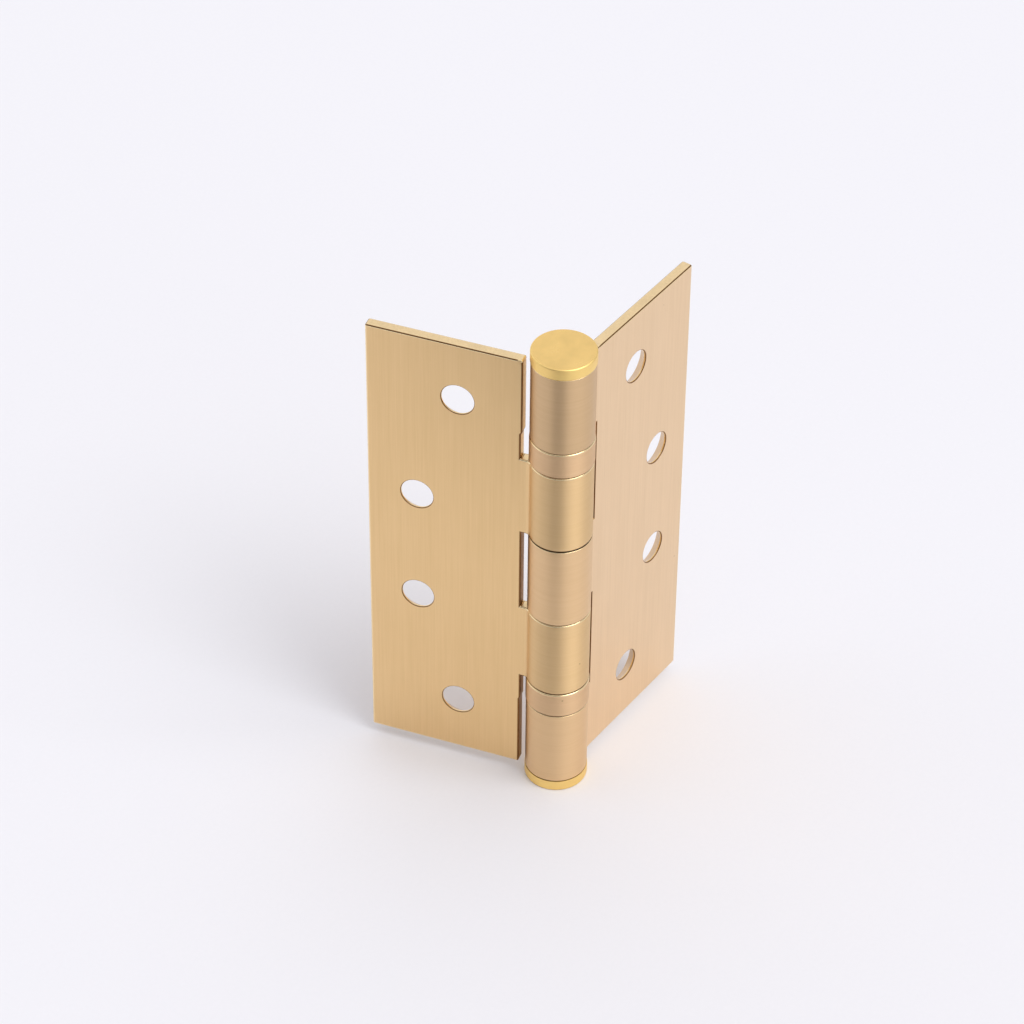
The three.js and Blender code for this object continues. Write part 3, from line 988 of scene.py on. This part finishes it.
class HINGE_OT_cages(bpy.types.Operator):
    """Cut the two comb-shaped cages that keep the balls apart"""

    bl_idname = "hinge.cages"
    bl_label = "Cages"

    BORE, REACH, PITCH_RADIUS, POCKET = 3.95 * MM, 5.5 * MM, 5 * MM, 0.8 * MM
    POCKET_STEPS, FINGER_STEPS, BORE_STEPS = 18, 6, 96
    WELD = 1e-6  # the pockets and fingers are joined over slightly more than a rounding error

    def comb(self, count):
        """The outer outline of the comb: pockets joined by arcs."""
        bm = bmesh.new()
        squares = self.REACH**2 + self.PITCH_RADIUS**2 - self.POCKET**2
        half = math.acos(squares / (2 * self.REACH * self.PITCH_RADIUS))
        start = bm.verts.new((self.REACH * math.cos(half), self.REACH * math.sin(half), 0))
        centre = Vector((self.PITCH_RADIUS, 0, 0))
        opening = math.atan2(start.co.y, start.co.x - self.PITCH_RADIUS)
        bmesh.ops.spin(bm, geom=[start], cent=centre, axis=(0, 0, 1), angle=math.tau - 2 * opening,
                       steps=self.POCKET_STEPS)
        finger = bm.verts.new(start.co)
        bmesh.ops.spin(bm, geom=[finger], cent=(0, 0, 0), axis=(0, 0, 1),
                       angle=math.tau / count - 2 * half, steps=self.FINGER_STEPS)
        pattern = list(bm.verts) + list(bm.edges)
        for step in range(1, count):
            copy = bmesh.ops.duplicate(bm, geom=pattern)
            turn = Matrix.Rotation(math.tau * step / count, 3, "Z")
            bmesh.ops.rotate(bm, cent=(0, 0, 0), matrix=turn, verts=verts_in(copy["geom"]))
        bmesh.ops.remove_doubles(bm, verts=bm.verts, dist=self.WELD)
        return bm

    def execute(self, context):
        for name in ("upper", "lower"):
            node = name + "_bearing_cage"
            low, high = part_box(node)
            bm = self.comb(len(BALLS[name]))
            outline = list(bm.edges)
            made = bmesh.ops.create_circle(bm, radius=self.BORE, segments=self.BORE_STEPS)
            bore = list({edge for vert in made["verts"] for edge in vert.link_edges})
            bmesh.ops.triangle_fill(bm, edges=outline + bore, use_beauty=True, normal=(0, 0, 1))
            made = bmesh.ops.extrude_face_region(bm, geom=list(bm.faces), use_keep_orig=True)
            bmesh.ops.translate(bm, verts=verts_in(made["geom"]), vec=(0, 0, high.z - low.z))
            bmesh.ops.translate(bm, verts=bm.verts, vec=(0, 0, low.z))
            place_piece(name + "_cage", bm, ("cage_brass",), name + "_cage", [node])
        return {"FINISHED"}


class HINGE_OT_balls(bpy.types.Operator):
    """Make the balls of both bearings"""

    bl_idname = "hinge.balls"
    bl_label = "Balls"

    ROUND_STEPS, POLE_STEPS = 32, 18

    def execute(self, context):
        radius = context.scene.hinge_sizes.ball_radius
        for name, nodes in BALLS.items():
            for node in nodes:
                low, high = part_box(node)
                bm = bmesh.new()
                bmesh.ops.create_uvsphere(
                    bm, u_segments=self.ROUND_STEPS, v_segments=self.POLE_STEPS, radius=radius
                )
                bmesh.ops.translate(bm, vec=(low + high) / 2, verts=bm.verts)
                piece = node.replace("_bearing", "")
                place_piece(piece, bm, ("ball_steel",), name + "_cage", [node])
        return {"FINISHED"}


# ---- Stage ----


def key_light(name, direction, power, softness):
    """A large distant soft lamp that shines from the given direction."""
    lamp = bpy.data.lights.new(name, "SUN")
    lamp.angle = softness
    lamp.energy = power
    holder = bpy.data.objects.new(name, lamp)
    holder.rotation_mode = "QUATERNION"
    holder.rotation_quaternion = (-direction).to_track_quat("-Z", "Y")
    bpy.context.scene.collection.objects.link(holder)


class HINGE_OT_stage(bpy.types.Operator):
    """Lay the floor, hang the lamps and set up the camera"""

    bl_idname = "hinge.stage"
    bl_label = "Stage"

    FLOOR_SIZE = 6.0
    KEY_POWER, KEY_SOFTNESS = 1.25, math.radians(38)
    ROOM_TINT, ROOM_LIGHT = (0.97, 0.965, 1.0, 1), 0.94
    DARKNESS, DARK_SPAN = 0.8, (0.55, 0.88)
    DULLNESS, DULL_SPAN = 0.4, (0.60, 0.90)
    FRAME_WIDTH = 36
    CLIP_START, CLIP_END = 0.02, 20

    def execute(self, context):
        stage = context.scene.hinge_stage
        self.floor(stage)
        self.lamps(stage)
        self.camera(stage)
        context.scene.view_settings.view_transform = "Standard"
        return {"FINISHED"}

    def floor(self, stage):
        bm = bmesh.new()
        bmesh.ops.create_grid(bm, x_segments=1, y_segments=1, size=self.FLOOR_SIZE / 2)
        mesh = bpy.data.meshes.new("floor")
        bm.to_mesh(mesh)
        bm.free()
        forward, right = self.heading(stage)
        turn = Matrix.Rotation(stage.dim_azimuth, 3, "Z")
        centre = turn @ (-forward * stage.dim_distance)
        paper = floor_paper("floor_paper", stage.floor, centre, stage.dim_radius, stage.dimming)
        mesh.materials.append(paper)
        ground = bpy.data.objects.new("floor", mesh)
        bpy.context.scene.collection.objects.link(ground)

    def lamps(self, stage):
        forward, right = self.heading(stage)
        up = Vector((0, 0, 1))
        self.room(forward, right, up)
        from_above = 0.5 * right - 0.3 * forward + 0.8 * up
        key_light("key", from_above, self.KEY_POWER, self.KEY_SOFTNESS)

    def room(self, forward, right, up):
        """A bright room with a dark end behind the camera and a dull wall on the right."""
        studio = Shader(bpy.data.worlds.new("studio"))
        bpy.context.scene.world = studio.block
        towards = studio.node("ShaderNodeTexCoord", {}, {}).outputs["Generated"]
        dark_end = (0.10 * up - forward - 0.55 * right).normalized()
        dull_side = (0.10 * up + 0.35 * forward + right).normalized()
        dark = studio.facing(towards, dark_end).between(*self.DARK_SPAN)
        dull = studio.facing(towards, dull_side).between(*self.DULL_SPAN)
        light = self.ROOM_LIGHT * (1 - self.DARKNESS * dark) * (1 - self.DULLNESS * dull)
        studio.set(Color=self.ROOM_TINT, Strength=light)

    def middle(self):
        return Vector((0, 0, (LEAF_BOTTOM + LEAF_TOP) / 2))

    def heading(self, stage):
        """Level directions forward from the camera and to its right."""
        forward = Vector((-math.sin(stage.azimuth), math.cos(stage.azimuth), 0))
        return forward, Vector((forward.y, -forward.x, 0))

    def camera(self, stage):
        forward, level = self.heading(stage)
        back = -forward * math.cos(stage.elevation) + Vector((0, 0, math.sin(stage.elevation)))
        rise = back.cross(level)
        right = level * math.cos(stage.roll) + rise * math.sin(stage.roll)
        up = rise * math.cos(stage.roll) - level * math.sin(stage.roll)
        data = bpy.data.cameras.new("camera")
        data.lens = stage.lens
        data.sensor_width = self.FRAME_WIDTH
        data.clip_start, data.clip_end = self.CLIP_START, self.CLIP_END
        view = bpy.data.objects.new("camera", data)
        place = self.middle() + back * stage.distance - right * stage.pan - up * stage.tilt
        turn = Matrix((right, up, back)).transposed().to_4x4()
        view.matrix_world = Matrix.Translation(place) @ turn
        bpy.context.scene.collection.objects.link(view)
        bpy.context.scene.camera = view


# ---- Panel and registration ----

OPERATORS = (
    HINGE_OT_leaves,
    HINGE_OT_pin,
    HINGE_OT_caps,
    HINGE_OT_shells,
    HINGE_OT_races,
    HINGE_OT_cages,
    HINGE_OT_balls,
    HINGE_OT_stage,
)
GROUPS = {"hinge_sizes": HingeSizes, "hinge_finish": HingeFinish, "hinge_stage": HingeStage}


class HINGE_PT_panel(bpy.types.Panel):
    """The steps that build the hinge"""

    bl_label = "Hinge"
    bl_idname = "HINGE_PT_panel"
    bl_space_type = "VIEW_3D"
    bl_region_type = "UI"
    bl_category = "Hinge"

    def draw(self, context):
        for operator in OPERATORS:
            self.layout.operator(operator.bl_idname)
        for name, group in GROUPS.items():
            box = self.layout.box()
            for key in group.__annotations__:
                box.prop(getattr(context.scene, name), key)


def register():
    for group in (*GROUPS.values(), *OPERATORS, HINGE_PT_panel):
        bpy.utils.register_class(group)
    for name, group in GROUPS.items():
        setattr(bpy.types.Scene, name, PointerProperty(type=group))


def unregister():
    for name in GROUPS:
        delattr(bpy.types.Scene, name)
    for group in (HINGE_PT_panel, *reversed(OPERATORS), *GROUPS.values()):
        bpy.utils.unregister_class(group)


def main():
    register()
    bpy.ops.hinge.leaves()
    bpy.ops.hinge.pin()
    bpy.ops.hinge.caps()
    bpy.ops.hinge.shells()
    bpy.ops.hinge.races()
    bpy.ops.hinge.cages()
    bpy.ops.hinge.balls()
    bpy.ops.hinge.stage()


if __name__ == "__main__":
    main()
